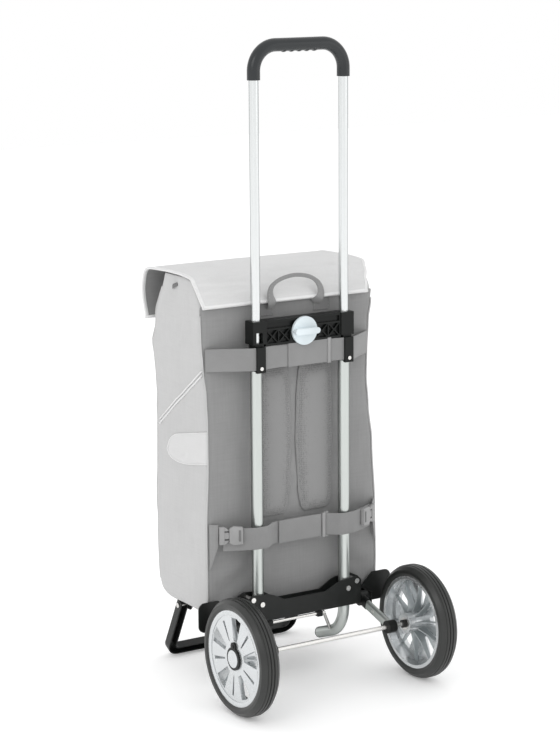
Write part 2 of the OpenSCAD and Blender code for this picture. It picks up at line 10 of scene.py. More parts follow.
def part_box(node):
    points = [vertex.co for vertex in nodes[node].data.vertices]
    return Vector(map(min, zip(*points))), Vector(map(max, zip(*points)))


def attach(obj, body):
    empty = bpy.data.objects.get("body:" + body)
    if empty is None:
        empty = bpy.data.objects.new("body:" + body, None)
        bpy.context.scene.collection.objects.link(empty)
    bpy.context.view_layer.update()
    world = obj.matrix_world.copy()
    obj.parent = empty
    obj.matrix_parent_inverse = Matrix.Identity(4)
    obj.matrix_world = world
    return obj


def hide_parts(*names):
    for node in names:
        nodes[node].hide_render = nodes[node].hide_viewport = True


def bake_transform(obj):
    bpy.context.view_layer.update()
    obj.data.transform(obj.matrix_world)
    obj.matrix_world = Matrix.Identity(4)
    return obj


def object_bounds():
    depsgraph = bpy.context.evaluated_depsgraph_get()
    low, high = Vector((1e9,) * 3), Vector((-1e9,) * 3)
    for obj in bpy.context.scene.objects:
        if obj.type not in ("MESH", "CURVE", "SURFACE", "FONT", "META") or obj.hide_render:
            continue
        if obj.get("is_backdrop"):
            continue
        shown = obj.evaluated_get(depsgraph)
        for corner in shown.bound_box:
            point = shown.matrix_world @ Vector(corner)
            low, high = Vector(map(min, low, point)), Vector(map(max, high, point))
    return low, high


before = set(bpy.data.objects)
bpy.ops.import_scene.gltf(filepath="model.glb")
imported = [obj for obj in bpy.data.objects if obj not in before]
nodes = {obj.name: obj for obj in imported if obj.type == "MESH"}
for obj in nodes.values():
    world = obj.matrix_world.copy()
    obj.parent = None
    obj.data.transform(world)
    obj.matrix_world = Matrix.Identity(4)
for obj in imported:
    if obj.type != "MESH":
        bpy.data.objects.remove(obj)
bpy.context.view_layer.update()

MM = 0.001


def centre_of(node):
    low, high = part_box(node)
    return (low + high) / 2


# All building below is in millimetres, with Y counted from the plane of the tubes.
TUBE_Y = centre_of("upper_tubes").y / MM


def to_row(point):
    """A point in working millimetres, in the row frame's metres."""
    x, y, z = point
    return Vector((x * MM, (y + TUBE_Y) * MM, z * MM))


# ---------------------------------------------------------------- camera

CAMERA_AT = (2010.9, 3118.6, 1287.5)
CAMERA_YAW, CAMERA_PITCH, CAMERA_ROLL = map(math.radians, (32.28, 11.307, -0.379))
CAMERA_LENS = 107.15

toward = Vector(
    (
        -math.sin(CAMERA_YAW) * math.cos(CAMERA_PITCH),
        -math.cos(CAMERA_YAW) * math.cos(CAMERA_PITCH),
        -math.sin(CAMERA_PITCH),
    )
)
level = Vector((-math.cos(CAMERA_YAW), math.sin(CAMERA_YAW), 0))
upward = level.cross(toward)
across = math.cos(CAMERA_ROLL) * level + math.sin(CAMERA_ROLL) * upward
upright = -math.sin(CAMERA_ROLL) * level + math.cos(CAMERA_ROLL) * upward

camera = bpy.data.objects.new("camera", bpy.data.cameras.new("camera"))
camera.data.lens = CAMERA_LENS
camera.data.sensor_width = 36
camera.matrix_world = Matrix.Translation(to_row(CAMERA_AT)) @ Matrix(
    (across, upright, -toward)
).transposed().to_4x4()
bpy.context.scene.collection.objects.link(camera)
bpy.context.scene.camera = camera

# ---------------------------------------------------------------- materials


class Shader:
    """A material with its nodes, built a step at a time."""

    def __init__(self, name, **settings):
        self.material = bpy.data.materials.new(name)
        self.material.use_nodes = True
        self.tree = self.material.node_tree
        self.main = self.tree.nodes["Principled BSDF"]
        for socket, value in settings.items():
            self.main.inputs[socket.replace("_", " ")].default_value = value

    def add(self, kind, **settings):
        node = self.tree.nodes.new(kind)
        for key, value in settings.items():
            setattr(node, key, value)
        return node

    def link(self, source, target):
        self.tree.links.new(source, target)

    def place(self, scale=(1, 1, 1)):
        """Object coordinates, in metres, times scale."""
        where = self.add("ShaderNodeTexCoord")
        scaled = self.add("ShaderNodeMapping")
        scaled.inputs["Scale"].default_value = scale
        self.link(where.outputs["Object"], scaled.inputs["Vector"])
        return scaled.outputs["Vector"]

    def noise(self, scale, stretch=(1, 1, 1), detail=3.0, rough=0.5):
        cloud = self.add("ShaderNodeTexNoise")
        cloud.inputs["Scale"].default_value = scale
        cloud.inputs["Detail"].default_value = detail
        cloud.inputs["Roughness"].default_value = rough
        self.link(self.place(stretch), cloud.inputs["Vector"])
        return cloud.outputs["Fac"]

    def remap(self, value, low, high, to_low, to_high):
        step = self.add("ShaderNodeMapRange")
        for socket, number in zip(
            ("From Min", "From Max", "To Min", "To Max"), (low, high, to_low, to_high)
        ):
            step.inputs[socket].default_value = number
        self.link(value, step.inputs["Value"])
        return step.outputs["Result"]

    def calc(self, operation, a, b):
        step = self.add("ShaderNodeMath", operation=operation)
        for socket, value in zip(step.inputs, (a, b)):
            if isinstance(value, (int, float)):
                socket.default_value = value
            else:
                self.link(value, socket)
        return step.outputs[0]

    def blend(self, factor, first, second):
        mix = self.add("ShaderNodeMix", data_type="RGBA")
        self.link(factor, mix.inputs["Factor"])
        for name, value in (("A", first), ("B", second)):
            socket = [s for s in mix.inputs if s.name == name and s.type == "RGBA"][0]
            if isinstance(value, tuple):
                socket.default_value = (*value, 1)
            else:
                self.link(value, socket)
        return [s for s in mix.outputs if s.type == "RGBA"][0]

    def colour(self, source):
        self.link(source, self.main.inputs["Base Color"])

    def rough(self, source):
        self.link(source, self.main.inputs["Roughness"])

    def bump(self, height, distance, strength=1.0, edge=0.0):
        """Bump by height (0 to 1) over distance metres, with edges eased by edge metres."""
        bump = self.add("ShaderNodeBump")
        bump.inputs["Strength"].default_value = strength
        bump.inputs["Distance"].default_value = distance
        self.link(height, bump.inputs["Height"])
        if edge:
            eased = self.add("ShaderNodeBevel", samples=4)
            eased.inputs["Radius"].default_value = edge
            self.link(eased.outputs["Normal"], bump.inputs["Normal"])
        self.link(bump.outputs["Normal"], self.main.inputs["Normal"])


def shade(colour, factor):
    return tuple(min(c * factor, 1.0) for c in colour)


def weave_height(shader, pitch):
    """A plain weave's height, on faces that look along any axis."""
    turns = 2 * math.pi / pitch
    place = shader.place((turns, turns, turns))
    wave = shader.add("ShaderNodeVectorMath", operation="SINE")
    shader.link(place, wave.inputs[0])
    split = shader.add("ShaderNodeSeparateXYZ")
    shader.link(wave.outputs["Vector"], split.inputs[0])
    x, y, z = split.outputs
    crossings = [shader.calc("MULTIPLY", a, b) for a, b in ((x, z), (y, z), (x, y))]
    both = shader.calc("ADD", crossings[0], crossings[1])
    return shader.remap(shader.calc("ADD", both, crossings[2]), -1.6, 1.6, 0, 1)


def cloth(name, colour, pitch=0.0016, depth=0.0005, mottle=0.1, sheen=0.12):
    """Woven cloth: threads, slubs along both directions and soft blotches."""
    s = Shader(name, Sheen_Weight=sheen, Sheen_Roughness=0.6, Specular_IOR_Level=0.2)
    threads = weave_height(s, pitch)
    slub_flat = s.noise(110, (0.16, 0.16, 2.6), 3)
    slub_tall = s.noise(110, (2.6, 2.6, 0.16), 3)
    blotch = s.noise(9, detail=2)
    slubs = s.calc("ADD", slub_flat, slub_tall)
    tone = s.calc("ADD", s.calc("MULTIPLY", slubs, 0.7), blotch)
    tone = s.calc("ADD", tone, s.calc("MULTIPLY", threads, 0.5))
    s.colour(
        s.blend(
            s.remap(tone, 0.9, 1.9, 0, 1),
            shade(colour, 1 - mottle),
            shade(colour, 1 + mottle),
        )
    )
    s.rough(s.remap(slub_flat, 0.3, 0.7, 0.82, 0.95))
    height = s.calc("ADD", threads, s.calc("MULTIPLY", slubs, 0.6))
    s.bump(height, depth, 0.7)
    return s.material


def mesh_cloth(name, colour):
    """Padded spacer mesh: a field of small round holes."""
    s = Shader(name, Sheen_Weight=0.15, Specular_IOR_Level=0.2)
    cells = s.add("ShaderNodeTexVoronoi")
    cells.inputs["Scale"].default_value = 340
    cells.inputs["Randomness"].default_value = 0.35
    s.link(s.place((1, 0.35, 0.8)), cells.inputs["Vector"])
    hole = s.remap(cells.outputs["Distance"], 0.18, 0.42, 0, 1)
    blotch = s.noise(14, detail=2)
    shadow = s.blend(blotch, shade(colour, 0.76), shade(colour, 0.84))
    lit = s.blend(blotch, shade(colour, 0.96), shade(colour, 1.04))
    s.colour(s.blend(hole, shadow, lit))
    s.rough(s.remap(blotch, 0.3, 0.7, 0.85, 0.95))
    s.bump(hole, 0.0006, 0.8)
    return s.material


def webbing(name, colour):
    """Ribbed webbing, with its ribs along the strap."""
    s = Shader(name, Sheen_Weight=0.15, Specular_IOR_Level=0.25)
    ribs = s.add("ShaderNodeTexWave", bands_direction="Z")
    ribs.inputs["Scale"].default_value = 150
    ribs.inputs["Distortion"].default_value = 0.6
    s.link(s.place(), ribs.inputs["Vector"])
    fine = s.noise(900, (1, 1, 0.4), 2)
    blotch = s.noise(16, detail=2)
    tone = s.calc("ADD", s.calc("MULTIPLY", fine, 0.5), blotch)
    s.colour(s.blend(s.remap(tone, 0.5, 1.0, 0, 1), shade(colour, 0.93), shade(colour, 1.06)))
    s.rough(s.remap(fine, 0.3, 0.7, 0.75, 0.92))
    s.bump(s.calc("ADD", ribs.outputs["Fac"], fine), 0.0003, 0.6)
    return s.material


def metal(name, colour, roughness, stretch=(40, 40, 0.6), edge=0.0004):
    """Drawn or brushed metal: fine lines along its length, and a few dull patches."""
    s = Shader(name, Metallic=1.0, Specular_Tint=(0.12, 0.13, 0.13, 1))
    lines = s.noise(60, stretch, 4, 0.7)
    patch = s.noise(12, detail=3)
    s.colour(s.blend(s.remap(lines, 0.3, 0.7, 0, 1), shade(colour, 0.93), shade(colour, 1.04)))
    dull = s.calc("ADD", s.calc("MULTIPLY", lines, 0.6), s.calc("MULTIPLY", patch, 0.4))
    s.rough(s.remap(dull, 0.3, 0.7, roughness * 0.8, roughness * 1.25))
    s.bump(lines, 0.00002, 0.5, edge)
    return s.material


def plastic(name, colour, roughness, grain=900, depth=0.00005, edge=0.0006, gloss=0.45):
    """Moulded plastic: a fine spark-eroded grain and slight wear."""
    s = Shader(name, Specular_IOR_Level=gloss)
    pits = s.noise(grain, detail=2)
    worn = s.noise(22, detail=4)
    s.colour(s.blend(s.remap(worn, 0.35, 0.75, 0, 1), shade(colour, 0.92), shade(colour, 1.12)))
    s.rough(s.remap(worn, 0.3, 0.7, roughness * 0.85, roughness * 1.15))
    s.bump(pits, depth, 0.6, edge)
    return s.material


def silver_paint(name, colour, roughness):
    """Silver lacquer on moulded plastic: a fine metal flake, duller where it is worn."""
    s = Shader(name, Metallic=0.75, Specular_IOR_Level=0.5, Coat_Weight=0.3, Coat_Roughness=0.12)
    flake = s.noise(1600, detail=1)
    worn = s.noise(20, detail=4)
    s.colour(s.blend(s.remap(worn, 0.3, 0.7, 0, 1), shade(colour, 0.96), shade(colour, 1.04)))
    s.rough(s.remap(worn, 0.3, 0.7, roughness * 0.8, roughness * 1.2))
    s.bump(flake, 0.000004, 0.3, edge=0.0008)
    return s.material


def powder_coat(name, colour, roughness):
    """Powder-coated sheet steel: orange peel with eased edges."""
    s = Shader(name, Specular_IOR_Level=0.26, Coat_Weight=0.05, Coat_Roughness=0.3)
    peel = s.noise(420, detail=2)
    worn = s.noise(18, detail=5, rough=0.65)
    s.colour(s.blend(s.remap(worn, 0.4, 0.8, 0, 1), colour, shade(colour, 1.5)))
    s.rough(s.remap(worn, 0.3, 0.7, roughness * 0.85, roughness * 1.2))
    s.bump(peel, 0.00008, 0.5, edge=0.0006)
    return s.material


def rubber(name, colour):
    """Tyre rubber: satin, with a little dust and fine pits."""
    s = Shader(name, Specular_IOR_Level=0.58)
    dust = s.noise(26, detail=5, rough=0.6)
    pits = s.noise(700, detail=2)
    s.colour(s.blend(s.remap(dust, 0.35, 0.75, 0, 1), colour, shade(colour, 1.45)))
    s.rough(s.remap(dust, 0.3, 0.7, 0.28, 0.46))
    s.bump(pits, 0.00008, 0.5, edge=0.0008)
    return s.material


MID, LIGHT, PALE = (0.278, 0.278, 0.278), (0.54, 0.54, 0.54), (0.66, 0.66, 0.66)
mid_cloth = cloth("mid_cloth", MID)
light_cloth = cloth("light_cloth", LIGHT, mottle=0.06)
lid_cloth = cloth("lid_cloth", shade(LIGHT, 1.28), mottle=0.05)
label_cloth = cloth("label_cloth", shade(PALE, 1.07), pitch=0.0008, mottle=0.02)
trim_cloth = cloth("trim_cloth", shade(PALE, 1.25), pitch=0.001, mottle=0.02)
spacer_mesh = mesh_cloth("spacer_mesh", shade(MID, 0.98))
mid_webbing = webbing("mid_webbing", shade(MID, 0.93))
thread = plastic("thread", shade(MID, 1.35), 0.8, edge=0)
# Dark thread, also laid over the buckles' windows as painted shade of their slots.
dark_thread_and_slot_shade = plastic("dark_thread_and_slot_shade", shade(MID, 0.6), 0.8, edge=0)
aluminium = metal("aluminium", (0.77, 0.79, 0.79), 0.24)
dull_aluminium = metal("dull_aluminium", (0.59, 0.62, 0.60), 0.32)
bright_steel = metal("bright_steel", (0.78, 0.77, 0.75), 0.24, (1, 30, 30))
black_steel = powder_coat("black_steel", (0.010, 0.011, 0.0105), 0.38)
black_plastic = plastic("black_plastic", (0.006, 0.007, 0.0065), 0.34, gloss=0.24)
charcoal = plastic("charcoal", (0.019, 0.022, 0.024), 0.27, grain=1400)
silver_plastic = silver_paint("silver_plastic", (0.63, 0.65, 0.66), 0.26)
rib_plastic = silver_paint("rib_plastic", (0.42, 0.45, 0.46), 0.34)
knob_plastic = plastic("knob_plastic", (0.68, 0.75, 0.78), 0.34)
tyre_rubber = rubber("tyre_rubber", (0.013, 0.014, 0.013))
buckle_plastic = plastic("buckle_plastic", shade(MID, 1.12), 0.45)

FINISH = {
    aluminium: "upper_tubes",
    dull_aluminium: "lower_tube_left lower_tube_right leg_left leg_right",
    black_steel: "bracket_rear_plate bracket_front_plate shovel stand wheel_guards"
    " hinge_blocks axle_rings",
    bright_steel: "bracket_spacers bracket_rivets hinge_pins release_rod stand_pins"
    " leg_rivets axle bearings_left bearings_right hook_rivets",
    black_plastic: "tube_end_plugs rod_clips hinge_knuckles axle_hubs hub_cap_left"
    " hub_cap_right release_button_left release_button_right lock_housing strap_hooks"
    " guide_plugs base_board brake_shoe_left brake_shoe_right",
    charcoal: "grip",
    silver_plastic: "rim_left rim_right cap_disc_left cap_disc_right",
    knob_plastic: "lock_knob",
    tyre_rubber: "tyre_left tyre_right",
}
for material, names in FINISH.items():
    for name in names.split():
        nodes[name].data.materials.clear()
        nodes[name].data.materials.append(material)

# ---------------------------------------------------------------- mesh helpers


def make(name, points, faces, material, smooth=True):
    """A mesh object from points in working millimetres."""
    mesh = bpy.data.meshes.new(name)
    mesh.from_pydata([to_row(p) for p in points], [], faces)
    mesh.materials.append(material)
    bm = bmesh.new()
    bm.from_mesh(mesh)
    bmesh.ops.recalc_face_normals(bm, faces=bm.faces)
    bm.to_mesh(mesh)
    bm.free()
    mesh.polygons.foreach_set("use_smooth", [smooth] * len(mesh.polygons))
    piece = bpy.data.objects.new(name, mesh)
    bpy.context.scene.collection.objects.link(piece)
    return piece


def grid_faces(rows, columns, closed=False, start=0):
    """Quads between rows of points; closed joins each row's ends."""
    faces = []
    for r in range(rows - 1):
        for c in range(columns if closed else columns - 1):
            d = (c + 1) % columns
            a, b = start + r * columns, start + (r + 1) * columns
            faces.append((a + c, a + d, b + d, b + c))
    return faces


def prism_faces(base, n):
    """Two ends of n points each, the first at base, and the quads between them."""
    ends = [tuple(range(base, base + n)), tuple(range(base + n, base + 2 * n))]
    turn = [(k, (k + 1) % n) for k in range(n)]
    return ends + [(base + k, base + m, base + n + m, base + n + k) for k, m in turn]


def face_towards(piece, direction):
    """Turns an open sheet's faces so that most of them look along direction."""
    total = sum((p.normal * p.area for p in piece.data.polygons), Vector())
    if total.dot(Vector(direction)) < 0:
        piece.data.flip_normals()


def ease_edges(piece, width, segments=1):
    eased = piece.modifiers.new("eased", "BEVEL")
    eased.width = width * MM
    eased.segments = segments
    eased.limit_method = "ANGLE"


def thicken(piece, thickness, inner_material=None, offset=-1.0):
    """Gives a sheet its thickness in millimetres, with another material inside if one is given."""
    solid = piece.modifiers.new("thickness", "SOLIDIFY")
    solid.thickness = thickness * MM
    solid.offset = offset
    solid.use_even_offset = False
    if inner_material:
        piece.data.materials.append(inner_material)
        solid.material_offset = 1
        solid.material_offset_rim = 0


def subdivide(piece):
    smooth = piece.modifiers.new("smooth", "SUBSURF")
    smooth.levels = smooth.render_levels = 1


def table_at(table, at):
    """Smooth reading of a table of (place, value) pairs."""
    if at <= table[0][0]:
        return table[0][1]
    for (p, u), (q, v) in zip(table, table[1:]):
        if at <= q:
            t = (at - p) / (q - p)
            t = t * t * (3 - 2 * t)
            return u + (v - u) * t
    return table[-1][1]


def ripple(x, y, z, size, seed=0.0):
    """Smooth noise from -1 to 1 with features about size millimetres across."""
    return noise.noise(Vector((x / size + seed, y / size - seed, z / size + 2 * seed)))


def curve_points(points, step):
    """A smooth run of points through the given ones, about step apart."""
    out = []
    last = len(points) - 1
    for i in range(last):
        a, b = Vector(points[max(i - 1, 0)]), Vector(points[i])
        c, d = Vector(points[i + 1]), Vector(points[min(i + 2, last)])
        count = max(1, round((c - b).length / step))
        for k in range(count):
            t = k / count
            out.append(0.5 * (
                2 * b + (c - a) * t + (2 * a - 5 * b + 4 * c - d) * t * t
                + (3 * b - a - 3 * c + d) * t**3
            ))
    out.append(Vector(points[-1]))
    return out


def sweep(name, path, section, material, side=Vector((0, 0, 1)), scale=None):
    """A closed section of (out, along side) pairs carried along a path, with end caps.

    scale gives the section's two factors for each share of the path.
    """
    points = []
    for i, p in enumerate(path):
        ahead = (path[min(i + 1, len(path) - 1)] - path[max(i - 1, 0)]).normalized()
        out = ahead.cross(side).normalized()
        wide = out.cross(ahead).normalized()
        j, k = scale(i / (len(path) - 1)) if scale else (1.0, 1.0)
        points += [p + j * u * out + k * v * wide for u, v in section]
    n = len(section)
    faces = grid_faces(len(path), n, closed=True)
    faces += [tuple(range(n)), tuple(range((len(path) - 1) * n, len(path) * n))]
    return make(name, points, faces, material)


def ring_section(radius, count=10, flat=1.0):
    """A round section, flat times as wide as it is thick."""
    turns = [2 * math.pi * k / count for k in range(count)]
    return [(radius * flat * math.cos(a), radius * math.sin(a)) for a in turns]


def strap_section(thickness, width):
    """A band's section with rounded edges."""
    t, w, r = thickness / 2, width / 2, min(thickness / 2, 0.8)
    return [
        (t - 0.3 * r, -w), (t, -w + r), (t, -w / 3), (t, w / 3), (t, w - r), (t - 0.3 * r, w),
        (-t + 0.3 * r, w), (-t, w - r), (-t, w / 3), (-t, -w / 3), (-t, -w + r), (-t + 0.3 * r, -w),
    ]


PIPE_SIDE = Vector((0.31, 0.17, 0.93)).normalized()  # parallel to no piping on the bag


def piping(name, points, radius, material):
    """A round cord sewn to the bag's light cloth."""
    piece = sweep(name, curve_points(points, 8), ring_section(radius, 8), material, side=PIPE_SIDE)
    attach(piece, "frame")


STITCH, STITCH_GAP, THREAD_R = 3.0, 2.6, 0.35


def stitches(name, points, material, body="frame", lift=(0, 0.25, 0)):
    """A dashed line of thread along a run of points, raised from them by lift."""
    path = curve_points(points, 1.0)
    verts, faces, travelled, since = [], [], 0.0, None
    pieces = []
    for p, q in zip(path, path[1:]):
        on = (travelled % (STITCH + STITCH_GAP)) < STITCH
        travelled += (q - p).length
        if on and since is None:
            since = p
        if not on and since is not None:
            pieces.append((since, p))
            since = None
    for a, b in pieces:
        along = (b - a).normalized()
        out = Vector(lift).normalized()
        wide = along.cross(out).normalized()
        base = len(verts)
        for centre, k in ((a, 0.5), ((a + b) / 2 + THREAD_R * 0.6 * out, 1.0), (b, 0.5)):
            for u, v in ring_section(THREAD_R, 6):
                verts.append(centre + Vector(lift) + k * (u * out + v * wide))
        faces += grid_faces(3, 6, closed=True, start=base)
        faces += [tuple(range(base, base + 6)), tuple(range(base + 12, base + 18))]
    piece = make(name, verts, faces, material)
    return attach(piece, body) if body else piece


def settle(piece, pressure, frames, cap, pinned):
    """Swells a piece with a short cloth simulation and keeps each point within cap of its start.

    pinned gives the points that stay and how strongly.
    """
    start = [v.co.copy() for v in piece.data.vertices]
    cloth_mod = piece.modifiers.new("cloth", "CLOTH")
    s = cloth_mod.settings
    s.quality = 6
    s.mass = 0.3
    s.tension_stiffness = s.compression_stiffness = 12
    s.shear_stiffness = 6
    s.bending_stiffness = 0.4
    s.use_pressure = True
    s.uniform_pressure_force = pressure
    s.effector_weights.gravity = 0
    cloth_mod.collision_settings.use_collision = False
    group = piece.vertex_groups.new(name="pinned")
    for index, weight in pinned:
        group.add([index], weight, "REPLACE")
    s.vertex_group_mass = "pinned"
    scene = bpy.context.scene
    cloth_mod.point_cache.frame_end = frames
    for f in range(1, frames + 1):
        scene.frame_set(f)
    shape = piece.evaluated_get(bpy.context.evaluated_depsgraph_get())
    moved = [v.co.copy() for v in shape.data.vertices]
    piece.modifiers.remove(cloth_mod)
    scene.frame_set(1)
    for v, was, now in zip(piece.data.vertices, start, moved):
        step = now - was
        if step.length > cap * MM:
            step *= cap * MM / step.length
        v.co = was + step
    piece.data.update()


# ---------------------------------------------------------------- the bag's shape

BAG_LOW, BAG_RIM, BACK_TOP = 121.0, 712.0, 674.0
BACK_Y = -26.5
LEFT_EDGE = [(121, 166), (150, 172), (190, 172), (290, 172), (400, 168), (470, 168),
             (520, 170), (563, 175), (620, 179), (652, 180), (690, 179), (712, 176)]
RIGHT_EDGE = [(121, 166), (150, 173), (190, 174), (290, 172), (400, 166), (470, 158),
              (520, 154), (563, 155), (620, 158), (652, 163), (695, 168), (712, 166)]
FRONT_Y = [(121, -198), (160, -206), (300, -210), (500, -210), (580, -207), (630, -195),
           (712, -162)]
LOW_R, FRONT_R, BACK_R = 38.0, 17.0, 4.0
MIDDLE_Y, SIDE_BULGE, FRONT_HOLLOW = -116.0, 6.0, 3.0
SHELL_CLOTH, PANEL_CLOTH, LID_CLOTH = 2.4, 1.0, 3.2
PATCH_CLOTH, WING_CLOTH, LABEL_CLOTH = 0.8, 1.4, 0.9
BACK_STEPS, SIDE_STEPS, CORNER_STEPS, FRONT_STEPS, HEIGHT_STEPS = 40, 16, 6, 30, 48


def low_pull(z):
    """How far the side walls draw in near the bottom."""
    d = max(0.0, BAG_LOW + LOW_R - z)
    return LOW_R - math.sqrt(max(LOW_R**2 - d**2, 0.0))


def side_x(sign, y, z):
    """X of a side wall, which bulges between its edges and is softly creased."""
    edge = table_at(LEFT_EDGE if sign > 0 else RIGHT_EDGE, z)
    front = table_at(FRONT_Y, z)
    t = min(max((BACK_Y - y) / (BACK_Y - front), 0.0), 1.0)
    height = min(max((z - BAG_LOW) / (BAG_RIM - BAG_LOW), 0.0), 1.0)
    bulge = SIDE_BULGE * math.sin(math.pi * t) * math.sin(math.pi * height) - 1.0 * t * t
    crumple = 3.0 * ripple(0, y, z, 85, sign) + 1.7 * ripple(0, y, z, 36, sign + 3)
    crumple += (0.6 + 1.1 * height) * ripple(0, 0.7 * (y + z), 0.2 * (z - y), 30, sign + 7)
    fade = min(1.0, 6 * t, 10 * (1 - t) + 0.2)
    return sign * (edge - 0.85 * low_pull(z) + bulge + crumple * fade)


def back_line(z):
    """Y of the back wall's corners, which lean forward above the back panel."""
    return BACK_Y - 0.8 * max(0.0, z - 674.5)


def back_y(x, z):
    """Y of the back wall, with soft drag lines near its lower strap."""
    edge = min(1.0, max(0.0, (165 - abs(x)) / 20))
    soft = 1.5 * ripple(x, 0, z, 60, 5) + 0.8 * ripple(x, 0, z, 24, 6)
    along = (abs(x) - 60) * 0.5 + (z - 235)
    near = math.exp(-(((abs(x) - 120) / 50) ** 2) - ((z - 200) / 50) ** 2)
    drag = near * 2.4 * math.sin(along / 9.0) if x else 0.0
    return back_line(z) + min(1.9, (soft + drag) * edge)


def shell_ring(z):
    """The bag's outline at one height: back, right side, front, left side."""
    left, right = side_x(1, BACK_Y, z), side_x(-1, BACK_Y, z)
    front = table_at(FRONT_Y, z)
    ring = []
    for k in range(BACK_STEPS + 1):
        x = left - BACK_R + (right - left + 2 * BACK_R) * k / BACK_STEPS
        ring.append((x, back_y(x, z) - 1.2, z))
    runs = {}
    for sign in (-1, 1):
        side, corner = [], []
        for k in range(SIDE_STEPS + 1):
            y = back_line(z) - BACK_R - (back_line(z) - BACK_R - front - FRONT_R) * k / SIDE_STEPS
            side.append((side_x(sign, y, z), y, z))
        for k in range(1, CORNER_STEPS + 1):
            a = math.pi / 2 * k / CORNER_STEPS
            x = side[-1][0] - sign * FRONT_R * (1 - math.cos(a))
            corner.append((x, front + FRONT_R * (1 - math.sin(a)), z))
        runs[sign] = side + corner
    ring += runs[-1]
    start, end = runs[-1][-1][0], runs[1][-1][0]
    for k in range(1, FRONT_STEPS):
        t = k / FRONT_STEPS
        x = start + (end - start) * t
        crease = 3.0 * ripple(x, 0, z, 90, 9) + 1.0 * ripple(x, 0, z, 36, 4)
        ring.append((x, front - FRONT_HOLLOW * math.sin(math.pi * t) + crease, z))
    return ring + runs[1][::-1]


def shell_heights():
    low = [BAG_LOW + LOW_R * (1 - math.cos(math.radians(a))) for a in range(0, 91, 15)]
    rise = BAG_RIM - low[-1]
    return low + [low[-1] + rise * k / HEIGHT_STEPS for k in range(1, HEIGHT_STEPS + 1)]


def rim_lift(y, z):
    """How far the rim rises towards the front, to reach the cover."""
    return 4.5 * min(1.0, max(0.0, (-62 - y) / 20)) * max(0.0, (z - 690) / 22)


rings = [shell_ring(z) for z in shell_heights()]
width = len(rings[0])
points = [(x, y, z + rim_lift(y, z)) for ring in rings for x, y, z in ring]
faces = grid_faces(len(rings), width, closed=True)
base, floor_z = len(points), BAG_LOW - 0.2
for k in (0.75, 0.35):
    points += [(x * k, MIDDLE_Y + (y - MIDDLE_Y) * k, floor_z) for x, y, _ in rings[0]]
points.append((0, MIDDLE_Y, floor_z))
faces += grid_faces(2, width, closed=True, start=base)
neighbours = [(c, (c + 1) % width) for c in range(width)]
faces += [(c, d, base + d, base + c) for c, d in neighbours]
faces += [(base + width + c, base + width + d, len(points) - 1) for c, d in neighbours]
bag_shell = make("bag_shell", points, faces, light_cloth)
thicken(bag_shell, SHELL_CLOTH, mid_cloth)
subdivide(bag_shell)
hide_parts("bag_body")
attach(bag_shell, "frame")

# back panel: a darker sheet sewn over the back, from edge to edge
rows, columns = 90, 61
points = []
for r in range(rows):
    z = BAG_LOW + 0.5 + (BACK_TOP - BAG_LOW - 0.5) * r / (rows - 1)
    left, right = side_x(1, BACK_Y, z) + 0.4, side_x(-1, BACK_Y, z) - 0.4
    for c in range(columns):
        t = c / (columns - 1)
        x = left + (right - left) * t
        tuck = 3.0 * max(0.0, 1 - min(t, 1 - t) * columns / 1.5) ** 2
        points.append((x, back_y(x, z) + 0.3 - tuck, z))
back_cloth = make("back_cloth", points, grid_faces(rows, columns), mid_cloth)
face_towards(back_cloth, (0, 1, 0))
thicken(back_cloth, PANEL_CLOTH, offset=1.0)
subdivide(back_cloth)
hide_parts("back_panel")
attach(back_cloth, "frame")

# ---------------------------------------------------------------- cover

LID_PROFILE = [(-17, 673.5), (-30, 688), (-46, 706), (-57, 717), (-75, 720.5), (-110, 722),
               (-160, 721), (-200, 719), (-214, 714), (-221, 704), (-225, 690), (-227, 676),
               (-224, 655), (-219, 640), (-216, 630)]
LID_LEFT = 180.0
LID_RIGHT = [(0, -151), (20, -158), (45, -168), (75, -176), (120, -178)]

lid_line = curve_points([(0, y, z) for y, z in LID_PROFILE], 6)
lid_run = [0.0]
for a, b in zip(lid_line, lid_line[1:]):
    lid_run.append(lid_run[-1] + (b - a).length)


def lid_point(i, t):
    """A point of the cover: i counts along its profile, t runs from 0 at the right edge to 1."""
    y, z, s = lid_line[i].y, lid_line[i].z, lid_run[i]
    right = table_at(LID_RIGHT, s)
    x = right + (LID_LEFT - right) * t
    level = math.exp(-(((y + 125) / 75) ** 2)) if z > 700 else 0.0
    hang = min(1.0, max(0.0, (708 - z) / 50)) if y < -150 else 0.0
    soft = ripple(x, y, z, 85, 2) + 0.5 * ripple(x, y, z, 34, 7)
    z += level * (2.5 * (1 - (2 * t - 1) ** 2) + 1.0 * soft)
    y += hang * (2.2 * soft + 3.0 * math.sin(3 * math.pi * t) * hang)
    return Vector((x, y, z))


columns = 49
points = [lid_point(i, c / (columns - 1)) for i in range(len(lid_line)) for c in range(columns)]
lid_cover = make("lid_cover", points, grid_faces(len(lid_line), columns), lid_cloth)
face_towards(lid_cover, (0, 0, 1))
thicken(lid_cover, LID_CLOTH, mid_cloth)
subdivide(lid_cover)
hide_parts("lid", "rear_yoke")
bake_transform(lid_cover)

BINDING_SINK, BINDING_THICK, BINDING_WIDE = 1.6, 4.4, 5.2


def lid_edge(name, line, side, out):
    """A folded binding round one edge of the cover; out points away from its face."""
    path = [p - BINDING_SINK * o for p, o in zip(line, out)]
    section = strap_section(BINDING_THICK, BINDING_WIDE)
    piece = sweep(name, path, section, trim_cloth, side=side)
    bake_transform(piece)
    return piece


def lid_out(i):
    """Away from the outer face of the cover, at one place of its profile."""
    ahead = (lid_line[min(i + 1, len(lid_line) - 1)] - lid_line[max(i - 1, 0)]).normalized()
    return ahead.cross(Vector((1, 0, 0))).normalized()


